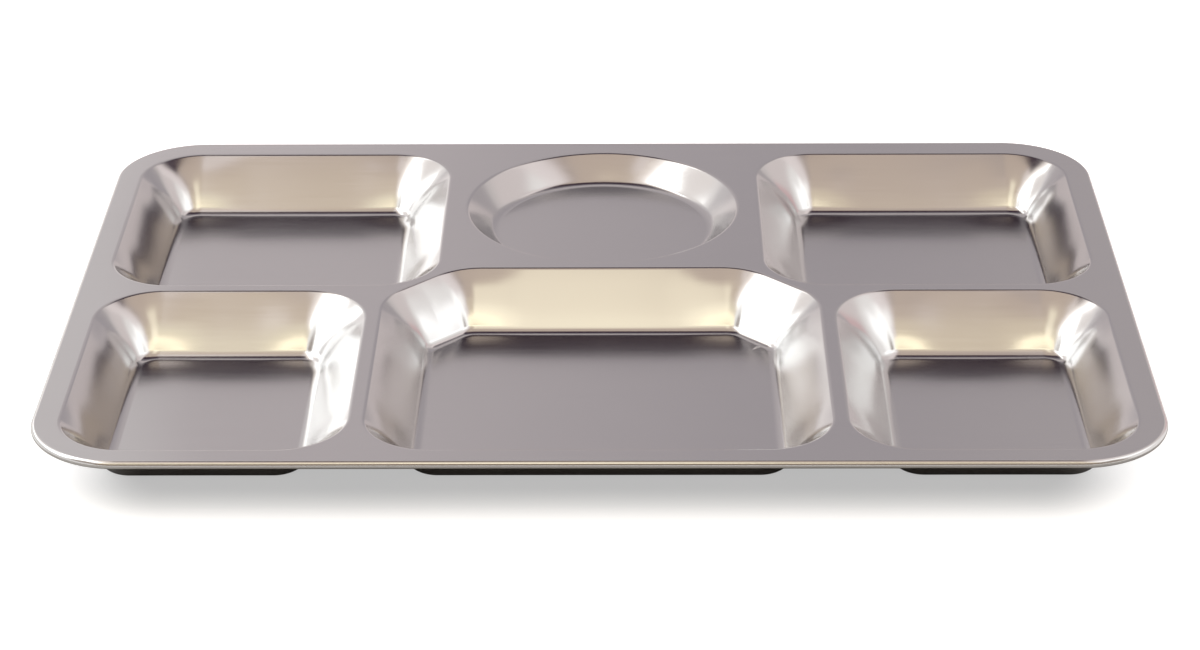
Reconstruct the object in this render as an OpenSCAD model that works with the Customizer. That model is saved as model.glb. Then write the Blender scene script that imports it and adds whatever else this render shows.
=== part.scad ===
// Divided compartment tray: one sheet of stainless steel with six wells pressed into it.
// Its edge is rolled round a wire. Origin: middle of the base, +Z up, front towards -Y.
// Every well is one cross-section, swept along the straight sides and round the corners
// of its mouth, so each wall is a true plane and each corner a true cone.

/* [Tray] */
// Overall length, left to right
tray_l = 395; // [375:1:430]
// Overall width, front to back
tray_w = 280; // [270:1:310]
// Overall height, table to flange
tray_h = 20; // [17:0.5:23]
// Thickness of the sheet
sheet_t = 0.7; // [0.5:0.05:0.9]

/* [Rolled edge] */
// Diameter of the wire inside the rolled edge
wire_d = 1.5; // [1.2:0.1:2.2]
// Gap all round between the wire and the sheet rolled over it
wire_gap = 0.05; // [0.03:0.01:0.1]
// Angle that the sheet wraps round the wire, from the flange
roll_wrap = 285; // [240:5:300]

/* [Wells] */
// Rim left outside the wells, at the front and the sides
edge_margin = 8.7; // [7:0.1:12]
// Rim left outside the wells at the back
back_margin = 11.4; // [9:0.1:15]
// Flat web between neighbouring wells
web_w = 3.5; // [2.5:0.1:6]
// Web between the centre well's cut corner and the back well beside it
cut_web_w = 2.6; // [2.2:0.1:5]
// Length of the two back wells, left to right
back_well_l = 127.5; // [115:0.5:129]
// Width of the two back wells, front to back
back_well_w = 127.9; // [115:0.5:135]
// Length of the two front wells at the sides
side_well_l = 102.4; // [92:0.2:110]
// How far the centre well reaches back past its neighbours
centre_step = 20.2; // [16:0.2:24]
// Corner radius of a well's mouth
mouth_r = 25; // [23:0.5:30]
// Slope of the well walls, in degrees from the level
wall_slope = 49; // [46:1:58]
// Radius of the bend from the flange into a wall, on the top face
mouth_bend_r = 3; // [2:0.25:4]
// Radius of the bend from a wall into the floor, on the top face
floor_bend_r = 5; // [3:0.25:6]

/* [Round well] */
// Mouth diameter of the round well
cup_d = 109; // [95:1:115]
// Depth of the round well, flange to floor
cup_depth = 10; // [8:0.5:14]
// Slope of the round well's wall, in degrees from the level
cup_slope = 45; // [40:1:60]

/* [Hidden] */
$fn = 96;

// Rolled edge: radius of the bead, and its centre line
bead_r = wire_d / 2 + wire_gap + sheet_t;
bead_z = tray_h - bead_r;
rim_r = mouth_r + edge_margin;
bead_x = rim_r - bead_r;

// Chords that a bend and the roll are drawn with
bend_steps = 6;
roll_steps = 24;

// A sweep starts at this share of its corner radius, and the core inside it reaches to that one
sweep_share = 0.35;
core_share = 0.6;
// How far a cut runs past the sheet, a well runs up into it, and a sweep runs past its ends
overrun_share = 0.25;
overrun = sheet_t * overrun_share;
// The slanted walls stand this much proud of the cones beside them
slant_step_share = 0.02;
slant_step = sheet_t * slant_step_share;

// Where the wells lie
front_y = edge_margin - tray_w / 2;
back_y = tray_w / 2 - back_margin;
row_y = back_y - back_well_w - web_w;
front_well_w = row_y - front_y;
outer_x = tray_l / 2 - edge_margin;
back_well_x = outer_x - back_well_l / 2;
back_well_y = back_y - back_well_w / 2;
side_well_x = outer_x - side_well_l / 2;
side_well_y = (front_y + row_y) / 2;
centre_l = 2 * (outer_x - side_well_l - web_w);
centre_w = front_well_w + centre_step;
centre_y = front_y + centre_w / 2;
cup_y = row_y + centre_step + web_w + cup_d / 2;

// The centre well's cut corners lie one web off the round corners of the back wells. The
// cut is measured between the axes that its corner is rounded about, so it's 0 without one.
back_axes = outer_x - back_well_l + row_y + web_w + 2 * mouth_r;
centre_axes = centre_l / 2 + row_y + centre_step - 2 * mouth_r;
centre_cut = centre_axes - back_axes + sqrt(2) * (2 * mouth_r + cut_web_w);

// Ground that a wall covers from its mouth to the flat of its floor
function wall_run(depth, slope) = let (bends = mouth_bend_r + floor_bend_r)
    bends * sin(slope) + (depth - bends * (1 - cos(slope))) / tan(slope);

well_depth = tray_h - sheet_t;
floor_r = mouth_r - wall_run(well_depth, wall_slope);

// Points on an arc of radius r, from angle a to angle b in n chords
function arc(centre, r, a, b, n) =
    [for (i = [0:n]) let (t = a + (b - a) * i / n) centre + r * [cos(t), sin(t)]];

// An outline is [length, width, cut of the two back corners, corner radius]: the same,
// drawn inwards by inset
function inset_outline(outline, inset) =
    [outline[0] - 2 * inset, outline[1] - 2 * inset, outline[2], outline[3] - inset];

// The corner points of an outline, without its corner radius
function corner_points(outline) = let (
    x = outline[0] / 2, y = outline[1] / 2,
    cut = outline[2] == 0 ? 0 : outline[2] + outline[3] * (2 - sqrt(2)))
    cut == 0
    ? [[-x, -y], [x, -y], [x, y], [-x, y]]
    : [[-x, -y], [x, -y], [x, y - cut], [x - cut, y], [cut - x, y], [-x, y - cut]];

tray_outline = [tray_l, tray_w, 0, rim_r];
back_outline = [back_well_l, back_well_w, 0, mouth_r];
side_outline = [side_well_l, front_well_w, 0, mouth_r];
centre_outline = [centre_l, centre_w, centre_cut, mouth_r];

// Draws a section back along -Y. Its X is the distance out from the corners' axes, and
// its Y is the height.
module straight(length) {
    rotate([90, 0, 0]) linear_extrude(height = length) children();
}

// Turns the first section through 90 degrees, or, at a cut corner, through 45 degrees on
// each side of a slanted wall, which takes the second section
module turn(cut) {
    slant = cut * sqrt(2);
    if (cut == 0) {
        rotate_extrude(angle = 90) children(0);
    } else {
        rotate_extrude(angle = 45) children(0);
        rotate([0, 0, 45]) translate([0, slant + overrun, 0])
            straight(slant + 2 * overrun) children($children - 1);
        translate([-cut, cut, 0]) rotate_extrude(angle = 45, start = 45) children(0);
    }
}

// Carries a section along one straight after another. Each has its length, and the cut of
// the corner that leads to the next.
module walk(straights, i = 0) {
    translate([0, straights[i][0], 0]) {
        straight(straights[i][0]) children(0);
        if (i + 1 < len(straights)) {
            cut = straights[i][1];
            turn(cut) { children(0); children($children - 1); }
            translate([-cut, cut, 0]) rotate([0, 0, 90])
                walk(straights, i + 1) { children(0); children($children - 1); }
        }
    }
}

// Sweeps a section round the right half of an outline, from the middle of its front to
// that of its back, and mirrors it to the left
module sweep_round(outline) {
    side = outline[1] - 2 * outline[3] - outline[2];
    front = outline[0] / 2 - outline[3] + overrun;
    for (flip = [0, 1])
        mirror([flip, 0, 0])
            translate([-overrun, outline[3] - outline[1] / 2, 0])
                rotate([0, 0, -90])
                    walk([[front, 0], [side, outline[2]], [front - outline[2]]]) {
                        children(0);
                        children($children - 1);
                    }
}

// Fills the middle of a sweep whose section is level from inner_r inwards
module core(outline, inner_r, z, height) {
    translate([0, 0, z])
        linear_extrude(height = height)
            polygon(corner_points(inset_outline(outline, outline[3] - inner_r * core_share)));
}

// One face of the sheet from the flange, down a wall, to the floor: the top face at
// depth_in 0, the underside at depth_in sheet_t
function wall_face(r, depth, slope, depth_in) = concat(
    arc([r, tray_h - mouth_bend_r], mouth_bend_r - depth_in, 90, 90 + slope, bend_steps),
    arc([r - wall_run(depth, slope), tray_h - depth + floor_bend_r],
        floor_bend_r + depth_in, slope - 90, -90, bend_steps));

// Section of all that lies inside that face, from inner_x out
module plug_section(r, depth, slope, depth_in, inner_x) {
    top = tray_h - depth_in + overrun;
    polygon(concat(
        [[inner_x, top], [r, top]],
        wall_face(r, depth, slope, depth_in),
        [[inner_x, tray_h - depth - depth_in]]
    ));
}

// A deep well's plug: with depth_in sheet_t it is the well's outside, with 0 its inside
module plug(outline, depth_in) {
    bottom = sheet_t - depth_in;
    inner_x = floor_r * sweep_share;
    sweep_round(outline) {
        plug_section(mouth_r, well_depth, wall_slope, depth_in, inner_x);
        plug_section(mouth_r, well_depth, wall_slope, depth_in - slant_step, inner_x);
    }
    core(outline, floor_r, bottom, tray_h - depth_in + overrun - bottom);
}

module plugs(depth_in) {
    for (side = [-1, 1]) {
        translate([side * back_well_x, back_well_y, 0]) plug(back_outline, depth_in);
        translate([side * side_well_x, side_well_y, 0]) plug(side_outline, depth_in);
    }
    translate([0, centre_y, 0]) plug(centre_outline, depth_in);
    translate([0, cup_y, 0])
        rotate_extrude() plug_section(cup_d / 2, cup_depth, cup_slope, depth_in, 0);
}

// Section of the flange from inner_x out, and of the edge rolled under it
module rim_section(inner_x) {
    bead = [bead_x, bead_z];
    polygon(concat(
        [[inner_x, tray_h]],
        arc(bead, bead_r, 90, 90 - roll_wrap, roll_steps),
        arc(bead, bead_r - sheet_t, 90 - roll_wrap, 90, roll_steps),
        [[inner_x, tray_h - sheet_t]]
    ));
}

module rolled_blank() {
    sweep_round(tray_outline) rim_section(rim_r * sweep_share);
    core(tray_outline, rim_r, tray_h - sheet_t, sheet_t);
}

module pressed_tray() {
    color("silver") difference() {
        union() {
            rolled_blank();
            plugs(sheet_t);
        }
        plugs(0);
    }
}

module rim_wire() {
    color("dimgray") sweep_round(tray_outline) translate([bead_x, bead_z]) circle(d = wire_d);
}

pressed_tray();
rim_wire();
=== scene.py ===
import math
from collections import namedtuple

import bpy
import numpy as np
from mathutils import Matrix, Vector
from mathutils.geometry import delaunay_2d_cdt


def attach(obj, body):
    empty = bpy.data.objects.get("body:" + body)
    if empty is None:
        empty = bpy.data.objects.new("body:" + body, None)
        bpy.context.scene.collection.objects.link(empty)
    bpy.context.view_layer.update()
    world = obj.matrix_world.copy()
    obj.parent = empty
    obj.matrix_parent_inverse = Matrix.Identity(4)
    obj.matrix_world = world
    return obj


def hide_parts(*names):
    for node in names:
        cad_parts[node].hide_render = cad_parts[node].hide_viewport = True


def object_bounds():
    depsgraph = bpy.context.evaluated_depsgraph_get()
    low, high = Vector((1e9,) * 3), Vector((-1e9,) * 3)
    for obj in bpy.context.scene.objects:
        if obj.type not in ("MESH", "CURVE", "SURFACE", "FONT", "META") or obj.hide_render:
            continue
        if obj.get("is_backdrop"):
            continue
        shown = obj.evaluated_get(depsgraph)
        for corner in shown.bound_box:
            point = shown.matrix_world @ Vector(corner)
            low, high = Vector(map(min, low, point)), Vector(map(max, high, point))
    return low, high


# Divided compartment tray: one sheet of satin stainless steel with six wells pressed into it
# and its edge rolled round a wire. Lengths are millimetres until they go into Blender, which
# takes metres. X runs along the tray, Y from its front to its back, and Z up.

MM = 0.001

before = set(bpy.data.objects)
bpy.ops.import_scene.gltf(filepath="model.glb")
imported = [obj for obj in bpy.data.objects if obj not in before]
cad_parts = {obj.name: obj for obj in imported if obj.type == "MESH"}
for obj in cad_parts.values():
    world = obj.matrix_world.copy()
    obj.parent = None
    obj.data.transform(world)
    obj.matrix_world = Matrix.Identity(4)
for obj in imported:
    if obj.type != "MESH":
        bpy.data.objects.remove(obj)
cad_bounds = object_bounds()

# The sheet and its rolled edge
TRAY_L, TRAY_W, TRAY_H = 395.0, 280.0, 20.0
SHEET_T = 0.7
RIM_R = 33.7              # the tray's corners, seen from above
BEAD_R = 1.5              # outside radius of the rolled edge
ROLL_WRAP = math.radians(285)

# The walls' sections. A wall is bowed: flatter than its slope at the top, by its bow, and as
# much steeper at its foot. It is bowed more at a corner, and that fades out along the sides.
WALL_SLOPE, WALL_BOW, CORNER_BOW = (math.radians(a) for a in (49, 3, 11))
CUP_SLOPE, CUP_BOW = (math.radians(a) for a in (45, 3))
CORNER_REACH = 20.0
MOUTH_BEND_R, FLOOR_BEND_R = 2.2, 5.0
WELL_DEPTH, CUP_DEPTH = TRAY_H - SHEET_T, 10.0

# The wells' mouths, from the flange left outside them and the web between them
END_MARGIN, FRONT_MARGIN, BACK_MARGIN, WEB = 9.1, 8.7, 11.2, 3.3
BACK_WELL_L, SIDE_WELL_L, FRONT_WELL_W = 127.2, 102.4, 128.7
CENTRE_STEP = 20.3        # how far the centre well reaches back past its neighbours
CENTRE_CHAMFER = 73.3     # its slanted sides lie on |x| + y = this
MOUTH_R = 25.0
CUP_R, CUP_Y = 54.5, 75.4

END_X = TRAY_L / 2 - END_MARGIN
BACK_WELL_X, SIDE_WELL_X = END_X - BACK_WELL_L, END_X - SIDE_WELL_L
CENTRE_X = SIDE_WELL_X - WEB
FRONT_Y, BACK_Y = FRONT_MARGIN - TRAY_W / 2, TRAY_W / 2 - BACK_MARGIN
FRONT_ROW_Y = FRONT_Y + FRONT_WELL_W
BACK_ROW_Y = FRONT_ROW_Y + WEB
CENTRE_Y = FRONT_ROW_Y + CENTRE_STEP

# Ground that the walls cover, from the mouth to the floor. The walls along the tray's two
# ends are the steepest.
END_RUN, FRONT_RUN = 18.2, 20.7
BACK_WELL_RUNS = 20.7, 20.8           # inner side and back
SIDE_WELL_RUNS = 21.3, 21.3           # inner side and back
CENTRE_RUNS = 20.3, 20.9              # sides and back
CHAMFER_RUN = 26.9                    # by which |x| + y is less at a slanted wall's foot
CUP_RUN = 13.31
NEAR_FLOOR_R, FAR_FLOOR_R = 6.5, 5.0  # corners of the floors, in front and at the back

# How finely the mesh is drawn
ARC_STEPS = 32            # chords in a quarter turn of an outline
SIDE_STEPS = 16           # chords along each straight side
MOUTH_STEPS, WALL_STEPS, FLOOR_STEPS = 8, 8, 10
ROLL_STEPS, LIP_STEPS = 36, 6
FLOOR_GRID = 6.0          # spacing of the points inside a floor
FLOOR_EDGE = 0.4 * FLOOR_GRID         # how far they stay from its edge
MERGE = 1e-5              # points as near as this are one

UP = np.array([0.0, 0.0, 1.0])

# Outlines of a well's mouth and floor, how near each point is to a corner, and the sections
# of the wall away from the corners and at them
Well = namedtuple("Well", "mouth floor near section corner_section")


def unit(vector):
    return vector / np.hypot(*vector)


def fade(distance):
    """A smooth step down, from 1 at 0 to 0 at 1."""
    distance = np.clip(distance, 0, 1)
    return (1 - distance) ** 2 * (1 + 2 * distance)


def rounded_outline(corners, radii):
    """A closed outline with rounded corners, anticlockwise: its points, the way out at each,
    and how near each is to a corner, from 0 to 1. Two outlines that turn through the same
    angles have as many points, so that they pair up."""
    corners = [np.array(c, float) for c in corners]
    arcs = []
    for i, (corner, radius) in enumerate(zip(corners, radii)):
        before = unit(corner - corners[i - 1])
        after = unit(corners[(i + 1) % len(corners)] - corner)
        turn = math.atan2(before[0] * after[1] - before[1] * after[0], before @ after)
        start = corner - before * radius * math.tan(turn / 2)
        centre = start + radius * np.array([-before[1], before[0]])
        first = math.atan2(-before[0], before[1])
        steps = round(ARC_STEPS * turn / (math.pi / 2))
        angles = first + turn * np.linspace(0, 1, steps + 1)
        way = np.stack([np.cos(angles), np.sin(angles)], 1)
        arcs.append((centre + radius * way, way))
    share = np.linspace(0, 1, SIDE_STEPS + 1)[1:-1]
    points, ways, near = [], [], []
    for (arc, way), (next_arc, _) in zip(arcs, arcs[1:] + arcs[:1]):
        side = next_arc[0] - arc[-1]
        off = np.minimum(share, 1 - share) * np.hypot(*side)
        points += [arc, arc[-1] + side * share[:, None]]
        ways += [way, np.repeat(way[-1:], len(share), 0)]
        near += [np.ones(len(arc)), fade(off / CORNER_REACH)]
    return np.concatenate(points), np.concatenate(ways), np.concatenate(near)


def rect(x0, x1, y0, y1):
    """Corners of a rectangle, anticlockwise from its front left one. The two values of x
    come in any order."""
    left, right = min(x0, x1), max(x0, x1)
    return [(left, y0), (right, y0), (right, y1), (left, y1)]


def hexagon(half, front, back, chamfer):
    """The centre well's corners, anticlockwise from its front left one. Its slanted sides
    lie on |x| + y = chamfer."""
    return [(-half, front), (half, front), (half, chamfer - half), (chamfer - back, back),
            (back - chamfer, back), (-half, chamfer - half)]


def circle(radius, y):
    steps = 4 * (ARC_STEPS + SIDE_STEPS)
    angles = np.linspace(0, 2 * math.pi, steps, endpoint=False)
    return np.stack([radius * np.cos(angles), y + radius * np.sin(angles)], 1)


def within(outline, point):
    """Whether a point lies inside a closed outline."""
    a, b = outline, np.roll(outline, -1, 0)
    crosses = (a[:, 1] > point[1]) != (b[:, 1] > point[1])
    a, b = a[crosses], b[crosses]
    x = a[:, 0] + (point[1] - a[:, 1]) * (b[:, 0] - a[:, 0]) / (b[:, 1] - a[:, 1])
    return (x > point[0]).sum() % 2 == 1


def grid_points(outline):
    """A grid of points inside an outline, clear of its edge."""
    low, high = outline.min(0), outline.max(0)
    cells = np.maximum(((high - low) / FLOOR_GRID).astype(int), 2)
    xs, ys = (np.linspace(low[k], high[k], cells[k] + 1)[1:-1] for k in (0, 1))
    points = [np.array([x, y]) for x in xs for y in ys]
    return np.array([p for p in points if within(outline, p)
                     and np.hypot(*(outline - p).T).min() > FLOOR_EDGE])


def wall_section(depth, slope, bow):
    """Section of a wall from the flange to the floor, as rows of (share of the ground that
    it covers, height)."""
    top, foot = slope - bow, slope + bow
    slopes = np.concatenate([np.linspace(0, top, MOUTH_STEPS + 1),
                             np.linspace(top, foot, WALL_STEPS + 1)[1:],
                             np.linspace(foot, 0, FLOOR_STEPS + 1)[1:]])
    slopes = (slopes[1:] + slopes[:-1]) / 2
    chords = np.concatenate([np.full(MOUTH_STEPS, MOUTH_BEND_R * top / MOUTH_STEPS),
                             np.zeros(WALL_STEPS),
                             np.full(FLOOR_STEPS, FLOOR_BEND_R * foot / FLOOR_STEPS)])
    # The wall between the two bends goes down by what they leave of the depth
    wall = slice(MOUTH_STEPS, MOUTH_STEPS + WALL_STEPS)
    rest = depth - (chords * np.sin(slopes)).sum()
    chords[wall] = rest / np.sin(slopes[wall]).sum()
    run = np.concatenate([[0], np.cumsum(chords * np.cos(slopes))])
    drop = np.concatenate([[0], np.cumsum(chords * np.sin(slopes))])
    return np.stack([run / run[-1], TRAY_H - drop], 1)


def deep_well(mouth, floor):
    """A well down to the table, from the corners of its mouth and its floor. The first two
    corners are the front ones."""
    floor_radii = [NEAR_FLOOR_R] * 2 + [FAR_FLOOR_R] * (len(floor) - 2)
    mouth, _, near = rounded_outline(mouth, [MOUTH_R] * len(mouth))
    floor, _, _ = rounded_outline(floor, floor_radii)
    return Well(mouth, floor, near, wall_section(WELL_DEPTH, WALL_SLOPE, WALL_BOW),
                wall_section(WELL_DEPTH, WALL_SLOPE, CORNER_BOW))


def wells():
    """The two wells at each end, the centre well and the round one."""
    for side in (1, -1):
        for inner_x, front_y, back_y, (inner_run, back_run) in (
            (BACK_WELL_X, BACK_ROW_Y, BACK_Y, BACK_WELL_RUNS),
            (SIDE_WELL_X, FRONT_Y, FRONT_ROW_Y, SIDE_WELL_RUNS),
        ):
            yield deep_well(
                rect(side * inner_x, side * END_X, front_y, back_y),
                rect(side * (inner_x + inner_run), side * (END_X - END_RUN),
                     front_y + FRONT_RUN, back_y - back_run))
    side_run, back_run = CENTRE_RUNS
    yield deep_well(
        hexagon(CENTRE_X, FRONT_Y, CENTRE_Y, CENTRE_CHAMFER),
        hexagon(CENTRE_X - side_run, FRONT_Y + FRONT_RUN, CENTRE_Y - back_run,
                CENTRE_CHAMFER - CHAMFER_RUN))
    cup = wall_section(CUP_DEPTH, CUP_SLOPE, CUP_BOW)
    mouth = circle(CUP_R, CUP_Y)
    yield Well(mouth, circle(CUP_R - CUP_RUN, CUP_Y), np.zeros(len(mouth)), cup, cup)


class Skin:
    """Points, their normals and the faces between them."""

    def __init__(self):
        self.points, self.normals, self.faces = [], [], []

    def add(self, points, normals):
        """Adds points and returns their numbers."""
        first = len(self.points)
        self.points += [tuple(p) for p in points]
        self.normals += [tuple(n) for n in normals]
        return list(range(first, len(self.points)))

    def strip(self, outer, inner):
        """Quads between two closed rings of as many points, seen from the side where outer
        runs anticlockwise round inner."""
        n = len(outer)
        for i in range(n):
            j = (i + 1) % n
            self.faces.append((outer[i], outer[j], inner[j], inner[i]))

    def fill(self, boundary, holes=(), extra=(), flip=False):
        """Level triangles between a boundary ring and hole rings, through the extra points.
        They face up, or down where flip is true."""
        rings = [boundary, *holes]
        index = [i for ring in rings for i in ring] + list(extra)
        flat = [Vector(self.points[i][:2]) for i in index]
        edges, first = [], 0
        for ring in rings:
            n = len(ring)
            edges += [(first + i, first + (i + 1) % n) for i in range(n)]
            first += n
        points, _, faces, origin, _, _ = delaunay_2d_cdt(flat, edges, [], 0, MERGE)
        outlines = [np.array([self.points[i][:2] for i in ring]) for ring in rings]
        for face in faces:
            centre = sum((points[i] for i in face), Vector((0, 0))) / len(face)
            inside = [within(outline, centre) for outline in outlines]
            if inside[0] and not any(inside[1:]):
                corners = [index[origin[i][0]] for i in face]
                a, b, c = (Vector(self.points[i][:2]) for i in corners)
                if ((b - a).cross(c - a) < 0) != flip:
                    corners.reverse()
                self.faces.append(tuple(corners))


def roll_section():
    """Section of the rolled edge about the middle of its bead, as rows of (out, up, and the
    normal's out and up): the outside of the roll, its rounded end, and back inside it."""
    def arc(centre, radius, angles, sense=1):
        way = np.stack([np.cos(angles), np.sin(angles)], 1)
        return np.hstack([centre + radius * way, sense * way])

    start, end = math.pi / 2, math.pi / 2 - ROLL_WRAP
    middle = np.zeros(2)
    lip = (BEAD_R - SHEET_T / 2) * np.array([math.cos(end), math.sin(end)])
    return np.concatenate([
        arc(middle, BEAD_R, np.linspace(start, end, ROLL_STEPS + 1)),
        arc(lip, SHEET_T / 2, np.linspace(end, end - math.pi, LIP_STEPS + 1)[1:-1]),
        arc(middle, BEAD_R - SHEET_T, np.linspace(end, start, ROLL_STEPS + 1), sense=-1),
    ])


def add_rolled_edge(skin):
    """Sweeps the rolled edge round the tray and returns the rings where the flange's top and
    its underside begin."""
    half_l, half_w = TRAY_L / 2 - BEAD_R, TRAY_W / 2 - BEAD_R
    path, way, _ = rounded_outline(rect(-half_l, half_l, -half_w, half_w), [RIM_R - BEAD_R] * 4)
    rings = []
    for out, up, normal_out, normal_up in roll_section():
        points = np.column_stack([path + way * out, np.full(len(path), TRAY_H - BEAD_R + up)])
        normals = np.column_stack([way * normal_out, np.full(len(way), normal_up)])
        rings.append(skin.add(points, normals))
    for before, after in zip(rings, rings[1:]):
        skin.strip(after, before)
    return rings[0], rings[-1]


def wall_grid(well):
    """Points and normals of a well's wall, ring by ring, from the mouth to the floor."""
    change = well.corner_section - well.section
    section = well.section[:, None] + change[:, None] * well.near[None, :, None]
    share, height = section[:, :, :1], section[:, :, 1:]
    grid = np.dstack([well.mouth + (well.floor - well.mouth) * share, height])
    along = np.roll(grid, -1, 1) - np.roll(grid, 1, 1)
    down = np.gradient(grid, axis=0)
    normals = np.cross(along, down)
    normals /= np.linalg.norm(normals, axis=2, keepdims=True)
    normals[0] = normals[-1] = UP
    return grid, normals


def add_well(skin, grid, normals, inside, flip):
    """One face of a well: its wall, and its floor through the points inside it. Returns the
    ring of its mouth."""
    rings = [skin.add(points, facing) for points, facing in zip(grid, normals)]
    for outer, inner in zip(rings, rings[1:]):
        if flip:
            outer, inner = outer[::-1], inner[::-1]
        skin.strip(outer, inner)
    floor_z = grid[-1, 0, 2]
    floor = np.column_stack([inside, np.full(len(inside), floor_z)])
    extra = skin.add(floor, np.repeat(normals[-1, :1], len(inside), 0))
    skin.fill(rings[-1], extra=extra, flip=flip)
    return rings[0]


def build_sheet():
    """The whole sheet as one closed skin: the rolled edge, the wells, and the flange between
    them, with its top and its underside."""
    skin = Skin()
    top_rim, under_rim = add_rolled_edge(skin)
    top_mouths, under_mouths = [], []
    for well in wells():
        grid, normals = wall_grid(well)
        inside = grid_points(well.floor)
        under = grid - normals * SHEET_T
        top_mouths.append(add_well(skin, grid, normals, inside, flip=False))
        under_mouths.append(add_well(skin, under, -normals, inside, flip=True))
    skin.fill(top_rim, top_mouths)
    skin.fill(under_rim, under_mouths, flip=True)
    return skin


def add_object(name, data):
    obj = bpy.data.objects.new(name, data)
    bpy.context.scene.collection.objects.link(obj)
    return obj


def add_skin(name, skin):
    mesh = bpy.data.meshes.new(name)
    mesh.from_pydata([tuple(c * MM for c in p) for p in skin.points], [], skin.faces)
    mesh.polygons.foreach_set("use_smooth", [True] * len(mesh.polygons))
    mesh.normals_split_custom_set_from_vertices(skin.normals)
    mesh.validate()
    mesh.update()
    return add_object(name, mesh)


def grey(value):
    return (value, value, value, 1)


class Nodes:
    """Short calls that add nodes to the tree of a material or a world and link them."""

    # Numbers of the colour sockets of a Mix node
    MIX_A, MIX_B, MIX_RESULT = 6, 7, 2

    def __init__(self, owner):
        owner.use_nodes = True
        self.tree = owner.node_tree
        self.tree.nodes.clear()

    def put(self, node, key, value):
        """Gives an input, by its name or number, a value or a link."""
        socket = node.inputs[key]
        if isinstance(value, bpy.types.NodeSocket):
            self.tree.links.new(value, socket)
        else:
            socket.default_value = value

    def add(self, kind, settings=None, **inputs):
        """A new node. The names of its inputs are written with _ for a space."""
        node = self.tree.nodes.new(kind)
        for key, value in (settings or {}).items():
            setattr(node, key, value)
        for key, value in inputs.items():
            self.put(node, key.replace("_", " "), value)
        return node

    def math(self, operation, a, b=0.0, c=0.0, clamp=False):
        node = self.add("ShaderNodeMath", {"operation": operation, "use_clamp": clamp})
        for key, value in enumerate((a, b, c)):
            self.put(node, key, value)
        return node.outputs[0]

    def weigh(self, a, share, b):
        """A share of a, and the rest of b."""
        return self.math("MULTIPLY_ADD", a, share, self.math("MULTIPLY", b, 1 - share))

    def mix(self, factor, a, b):
        node = self.add("ShaderNodeMix", {"data_type": "RGBA"})
        for key, value in ((0, factor), (self.MIX_A, a), (self.MIX_B, b)):
            self.put(node, key, value)
        return node.outputs[self.MIX_RESULT]

    def stretch(self, vector, scale):
        return self.add("ShaderNodeMapping", Vector=vector, Scale=scale).outputs["Vector"]

    def noise(self, vector, detail, roughness, scale=1.0):
        return self.add("ShaderNodeTexNoise", Vector=vector, Scale=scale, Detail=detail,
                        Roughness=roughness).outputs["Fac"]

    def spread(self, value, low, high, to_low=0.0, to_high=1.0, kind="LINEAR"):
        return self.add("ShaderNodeMapRange", {"interpolation_type": kind}, Value=value,
                        From_Min=low, From_Max=high,
                        To_Min=to_low, To_Max=to_high).outputs["Result"]

    def ramp(self, value, low, high):
        """A smooth step from 0 at low to 1 at high, in millimetres."""
        return self.spread(value, low * MM, high * MM, kind="SMOOTHSTEP")


# The steel's texture, in waves to a metre. Its rolling grain and hairlines run along X, and
# its clouds have no direction. Noise lies mostly within NOISE_SPAN.
GRAIN_SCALE, HAIR_SCALE, CLOUD_SCALE = (30, 900, 900), (90, 3200, 3200), 16.0
NOISE_SPAN = 0.3, 0.7
TINT_GRAIN = 0.6          # share of the grain in the tint; the rest is clouds
ROUGH_CLOUD = 0.5         # share of the clouds in the roughness; the rest is grain
BUMP_GRAIN = 0.7          # share of the grain in the bump; the rest is hairlines
ROUGHNESS_SPREAD = 0.03
BUMP_STRENGTH, BUMP_HEIGHT = 0.02, 0.1


def stainless(name, bright, dark, roughness):
    """Satin stainless steel, whose grain runs straight through every pressed form."""
    material = bpy.data.materials.new(name)
    n = Nodes(material)
    place = n.add("ShaderNodeTexCoord").outputs["Object"]
    grain = n.noise(n.stretch(place, GRAIN_SCALE), detail=4.0, roughness=0.6)
    hair = n.noise(n.stretch(place, HAIR_SCALE), detail=2.0, roughness=0.5)
    cloud = n.noise(place, detail=3.0, roughness=0.55, scale=CLOUD_SCALE)
    shade = n.spread(n.weigh(grain, TINT_GRAIN, cloud), *NOISE_SPAN)
    tint = n.mix(shade, grey(dark), grey(bright))
    rough = n.spread(n.weigh(cloud, ROUGH_CLOUD, grain), *NOISE_SPAN,
                     roughness - ROUGHNESS_SPREAD, roughness + ROUGHNESS_SPREAD)
    bump = n.add("ShaderNodeBump", Strength=BUMP_STRENGTH, Distance=BUMP_HEIGHT * MM,
                 Height=n.weigh(grain, BUMP_GRAIN, hair))
    shader = n.add("ShaderNodeBsdfPrincipled", Base_Color=tint, Roughness=rough,
                   Metallic=1.0, Normal=bump.outputs["Normal"])
    n.add("ShaderNodeOutputMaterial", Surface=shader.outputs[0])
    return material


# The pieces
tray = add_skin("tray_sheet", build_sheet())
tray.data.materials.append(stainless("stainless_sheet", bright=0.63, dark=0.61, roughness=0.17))
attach(tray, "root")
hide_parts("pressed_tray")

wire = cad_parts["rim_wire"]
wire.data.materials.clear()
wire.data.materials.append(stainless("steel_wire", bright=0.60, dark=0.52, roughness=0.3))

# The studio is a small light tent round the tray, on paper. Only the tent's mirror image and
# its light reach the picture. FAR is past every edge of it.
TENT_X, TENT_FRONT, TENT_BACK, TENT_TOP = 480.0, -620.0, 480.0, 650.0
BACK_LEFT, FRONT_LEFT = (-TENT_X, TENT_BACK), (-TENT_X, TENT_FRONT)
FRONT_RIGHT, BACK_RIGHT = (TENT_X, TENT_FRONT), (TENT_X, TENT_BACK)
FAR = 2000.0

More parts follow.
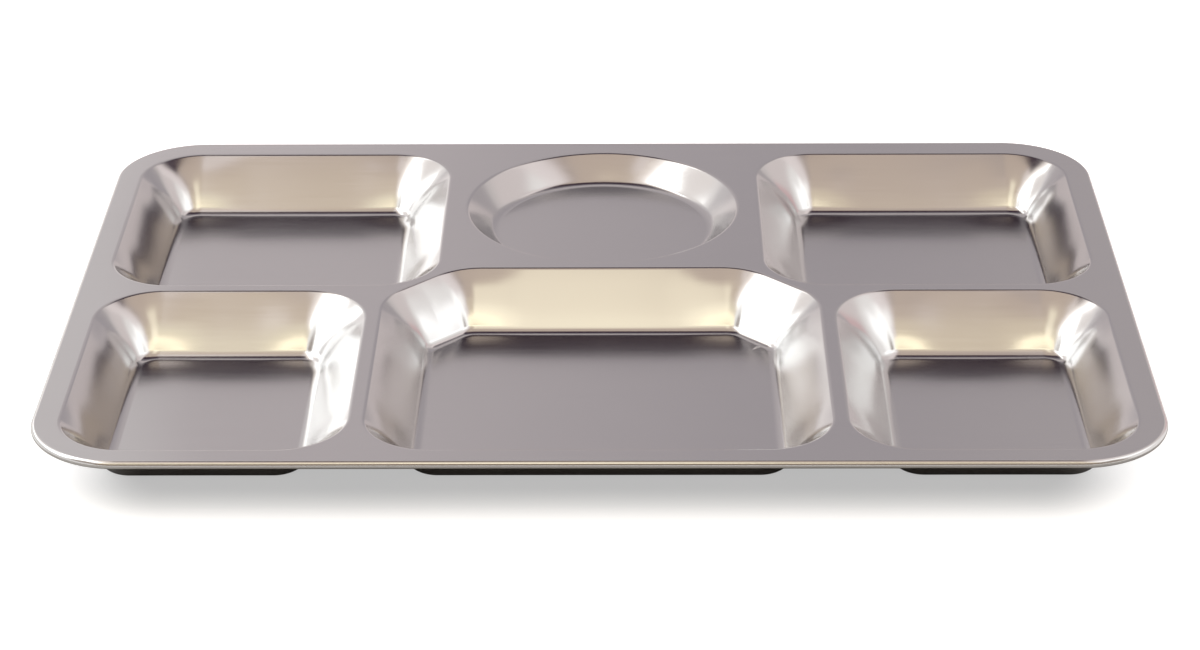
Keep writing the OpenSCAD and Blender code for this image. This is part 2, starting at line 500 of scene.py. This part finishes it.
# The paper, with its whiteness in the painted shadow under the tray, in front and at the back,
# and its glow in the painted shadow and clear of it. The painted shadow lies on a rectangle and
# fades out past its edge, over the real shadow that the tent's light casts.
PAPER_REACH = 4000.0      # from the middle to each side
SHADOW_HALF_L, SHADOW_HALF_W, SHADOW_FADE = 150.0, 112.0, (8.0, 40.0)
PAINTED_SHADOW_WHITE, FRONT_WHITE, BACK_WHITE = 0.20, 0.52, 0.85
FRONT_TO_BACK = -150.0, 80.0          # y, where the front ends and where the back begins
PAINTED_SHADOW_GLOW, CLEAR_GLOW = 0.47, 0.78
# Nearer the tray than this, mirror rays see the paper without its glow, so that the tray's
# undersides mirror dark paper: painted shade.
MIRROR_FADE = 90.0, 200.0             # past the rectangle, where mirror rays meet the glow


def stage_quad(name, corners):
    """A flat sheet of the studio, and the nodes of its material."""
    mesh = bpy.data.meshes.new(name)
    mesh.from_pydata([tuple(c * MM for c in p) for p in corners], [], [(0, 1, 2, 3)])
    obj = add_object(name, mesh)
    obj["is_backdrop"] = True
    material = bpy.data.materials.new(name)
    mesh.materials.append(material)
    return obj, Nodes(material)


def add_paper():
    """Paper that glows a little for the camera, so that it is white round the tray, and less on
    a rectangle under the tray, whose colour is darker there too: a painted shadow over the real
    one. Mirror rays see the glow only away from the tray, so that near it they see darker
    paper: painted shade."""
    plan = rect(-PAPER_REACH, PAPER_REACH, -PAPER_REACH, PAPER_REACH)
    _, n = stage_quad("studio_floor", [(x, y, 0) for x, y in plan])
    place = n.add("ShaderNodeNewGeometry").outputs["Position"]
    x, y, _ = n.add("ShaderNodeSeparateXYZ", Vector=place).outputs
    past = [n.math("MAXIMUM", n.math("SUBTRACT", n.math("ABSOLUTE", value), half * MM), 0.0)
            for value, half in ((x, SHADOW_HALF_L), (y, SHADOW_HALF_W))]
    away = n.math("SQRT", n.math("ADD", *(n.math("MULTIPLY", p, p) for p in past)))
    clear = n.ramp(away, *SHADOW_FADE)

    paper = n.mix(n.ramp(y, *FRONT_TO_BACK), grey(FRONT_WHITE), grey(BACK_WHITE))
    # The paper's colour is darker on the rectangle under the tray: a painted shadow, laid over
    # the real shadow.
    diffuse = n.add("ShaderNodeBsdfDiffuse", Color=n.mix(clear, grey(PAINTED_SHADOW_WHITE), paper))

    rays = n.add("ShaderNodeLightPath").outputs
    seen = n.math("ADD", rays["Is Camera Ray"], rays["Is Transmission Ray"], clamp=True)
    # Mirror rays get the glow only away from the tray: painted shade round the tray in its
    # mirror images.
    mirrored = n.math("MULTIPLY", rays["Is Glossy Ray"], n.ramp(away, *MIRROR_FADE))
    # The camera's glow is weaker on that rectangle too: painted shadow.
    straight = n.math("MULTIPLY_ADD", clear, CLEAR_GLOW - PAINTED_SHADOW_GLOW, PAINTED_SHADOW_GLOW)
    strength = n.math("MULTIPLY_ADD", mirrored, CLEAR_GLOW, n.math("MULTIPLY", seen, straight))
    glow = n.add("ShaderNodeEmission", Strength=strength)

    both = n.add("ShaderNodeAddShader")
    n.put(both, 0, diffuse.outputs[0])
    n.put(both, 1, glow.outputs[0])
    n.add("ShaderNodeOutputMaterial", Surface=both.outputs[0])


def upright(start, end):
    """Corners of an upright side of the tent, over a line on its plan. It faces inwards
    where the lines run anticlockwise."""
    return [(*start, TENT_TOP), (*end, TENT_TOP), (*end, 0), (*start, 0)]


def card(name, corners, axes, base, panels):
    """A side of the tent, unseen by the camera. Its light is the base colour with panels
    laid over it, each (from, to, from, to, width of its soft edge, colour), along the two
    axes. From outside it glows like the plain white world."""
    obj, n = stage_quad(name, corners)
    obj.visible_camera = False
    geometry = n.add("ShaderNodeNewGeometry").outputs
    place = n.add("ShaderNodeSeparateXYZ", Vector=geometry["Position"]).outputs
    light = (*base, 1)
    for u0, u1, v0, v1, soft, colour in panels:
        edges = []
        for axis, low, high in ((axes[0], u0, u1), (axes[1], v0, v1)):
            if low > -FAR:
                edges.append(n.ramp(place[axis], low - soft / 2, low + soft / 2))
            if high < FAR:
                edges.append(n.ramp(place[axis], high + soft / 2, high - soft / 2))
        cover = edges[0]
        for edge in edges[1:]:
            cover = n.math("MULTIPLY", cover, edge)
        light = n.mix(cover, light, (*colour, 1))
    light = n.mix(geometry["Backfacing"], light, grey(1))
    glow = n.add("ShaderNodeEmission", Color=light, Strength=1.0)
    n.add("ShaderNodeOutputMaterial", Surface=glow.outputs[0])


def add_tent():
    card("card_left", upright(BACK_LEFT, FRONT_LEFT), "YZ", (1.40, 1.36, 1.32), [
        (-FAR, -240, -FAR, 470, 100, (0.50, 0.43, 0.38)),    # dark towards the front
        (-220, 180, 150, FAR, 50, (2.80, 2.80, 2.75)),       # the large softbox
        (0, FAR, 150, 305, 50, (2.30, 2.25, 2.20)),          # its low wing to the back
        (-FAR, FAR, -FAR, 150, 50, (1.00, 0.96, 0.94)),      # along the paper
        (180, FAR, 340, FAR, 90, (1.15, 1.06, 1.02)),        # above the wing
    ])
    card("card_right", upright(FRONT_RIGHT, BACK_RIGHT), "YZ", (1.20, 1.15, 1.12), [
        (-FAR, -60, 240, FAR, 140, (1.80, 1.77, 1.73)),      # the upper front half
        (-160, 50, 220, 410, 100, (1.80, 1.77, 1.75)),       # the small softbox
        (-FAR, -290, -FAR, 450, 100, (0.45, 0.38, 0.33)),    # dark towards the front
        (150, FAR, -FAR, FAR, 120, (0.92, 0.82, 0.80)),      # the back
        (220, FAR, 60, 220, 90, (0.85, 0.60, 0.60)),         # a red thing low on the back
    ])
    card("card_back", upright(BACK_RIGHT, BACK_LEFT), "XZ", (0.49, 0.445, 0.465), [
        (200, FAR, -FAR, FAR, 160, (0.53, 0.48, 0.49)),      # the right
        (-FAR, -20, -FAR, FAR, 300, (0.63, 0.57, 0.58)),     # the left half
        (-FAR, -250, -FAR, FAR, 60, (0.77, 0.72, 0.72)),     # brighter further left
        (-FAR, FAR, -FAR, 115, 50, (0.76, 0.67, 0.66)),      # along the paper
        (-FAR, -140, -FAR, 115, 180, (1.20, 1.12, 1.10)),    # and its left part
        (-FAR, FAR, 500, FAR, 90, (0.75, 0.67, 0.65)),       # the top
        (-FAR, -375, -FAR, FAR, 60, (1.15, 1.08, 1.06)),     # the left edge
        (370, FAR, 180, FAR, 60, (0.82, 0.75, 0.73)),        # the right edge
    ])
    card("card_front", upright(FRONT_LEFT, FRONT_RIGHT), "XZ", (0.38, 0.30, 0.24), [
        (-FAR, FAR, 500, FAR, 80, (2.20, 1.95, 1.40)),       # the top, warm
    ])
    plan = (BACK_LEFT, BACK_RIGHT, FRONT_RIGHT, FRONT_LEFT)
    card("card_top", [(*corner, TENT_TOP) for corner in plan], "XY", (0.74, 0.60, 0.50), [
        (-FAR, 0, -FAR, -170, 200, (0.84, 0.69, 0.55)),      # the left front
        (205, 310, -215, FAR, 60, (0.60, 0.49, 0.43)),       # a dim strip to the right
        (290, FAR, -FAR, FAR, 120, (1.12, 1.00, 0.98)),      # the right side
        (360, FAR, -400, -200, 90, (1.55, 1.50, 1.45)),      # its bright part
        (-FAR, -280, -FAR, FAR, 90, (1.20, 1.05, 0.95)),     # the left side
        (-270, -200, -110, 60, 50, (1.05, 0.93, 0.88)),      # in front of the dark part
        (-290, 290, 75, FAR, 50, (0.042, 0.02, 0.04)),       # the dark part
        (-290, 290, 310, FAR, 80, (0.29, 0.26, 0.28)),       # behind the dark part
        (-FAR, -378, -FAR, FAR, 70, (3.10, 3.05, 3.00)),     # over the large softbox
        (-FAR, 80, -FAR, -420, 120, (1.10, 0.96, 0.75)),     # the front's warm left half
        (80, 330, -FAR, -370, 100, (0.93, 0.78, 0.60)),      # and its dimmer right half
        (-110, 60, -FAR, -240, 80, (1.34, 1.18, 0.92)),      # the middle, reaching far back
        (-330, -110, -FAR, -540, 60, (1.20, 1.06, 0.80)),    # the front edge, to the left
        (-130, 105, -FAR, -480, 90, (1.60, 1.44, 1.12)),     # and its bright middle
    ])


def add_world():
    world = bpy.data.worlds.new("studio")
    bpy.context.scene.world = world
    n = Nodes(world)
    white = n.add("ShaderNodeBackground", Color=grey(1), Strength=1.0)
    n.add("ShaderNodeOutputWorld", Surface=white.outputs[0])


# The camera as it was fitted to the photograph. Its height was fitted above the flange.
FOCAL_PX, IMAGE_W = 3270.1, 1200
PITCH, YAW, ROLL = (math.radians(a) for a in (25.913, 0.646, 0.371))
EYE = np.array([12.11, -1115.07, 525.51 + TRAY_H])
SENSOR_W = 36.0


def add_camera():
    (cp, sp), (cy, sy), (cr, sr) = ((math.cos(a), math.sin(a)) for a in (PITCH, YAW, ROLL))
    roll = np.array([[cr, sr, 0], [-sr, cr, 0], [0, 0, 1]])
    pitch = np.array([[1, 0, 0], [0, -sp, -cp], [0, cp, -sp]])
    yaw = np.array([[cy, sy, 0], [-sy, cy, 0], [0, 0, 1]])
    right, down, ahead = roll @ pitch @ yaw
    pose = np.eye(4)
    pose[:3] = np.column_stack([right, -down, -ahead, EYE * MM])
    data = bpy.data.cameras.new("camera")
    data.sensor_width = SENSOR_W
    data.lens = FOCAL_PX * SENSOR_W / IMAGE_W
    camera = add_object("camera", data)
    camera.matrix_world = Matrix(pose.tolist())
    bpy.context.scene.camera = camera


add_paper()
add_tent()
add_world()
add_camera()

bpy.context.scene.view_settings.view_transform = "Standard"

[[list(corner) for corner in box] for box in (cad_bounds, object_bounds())]
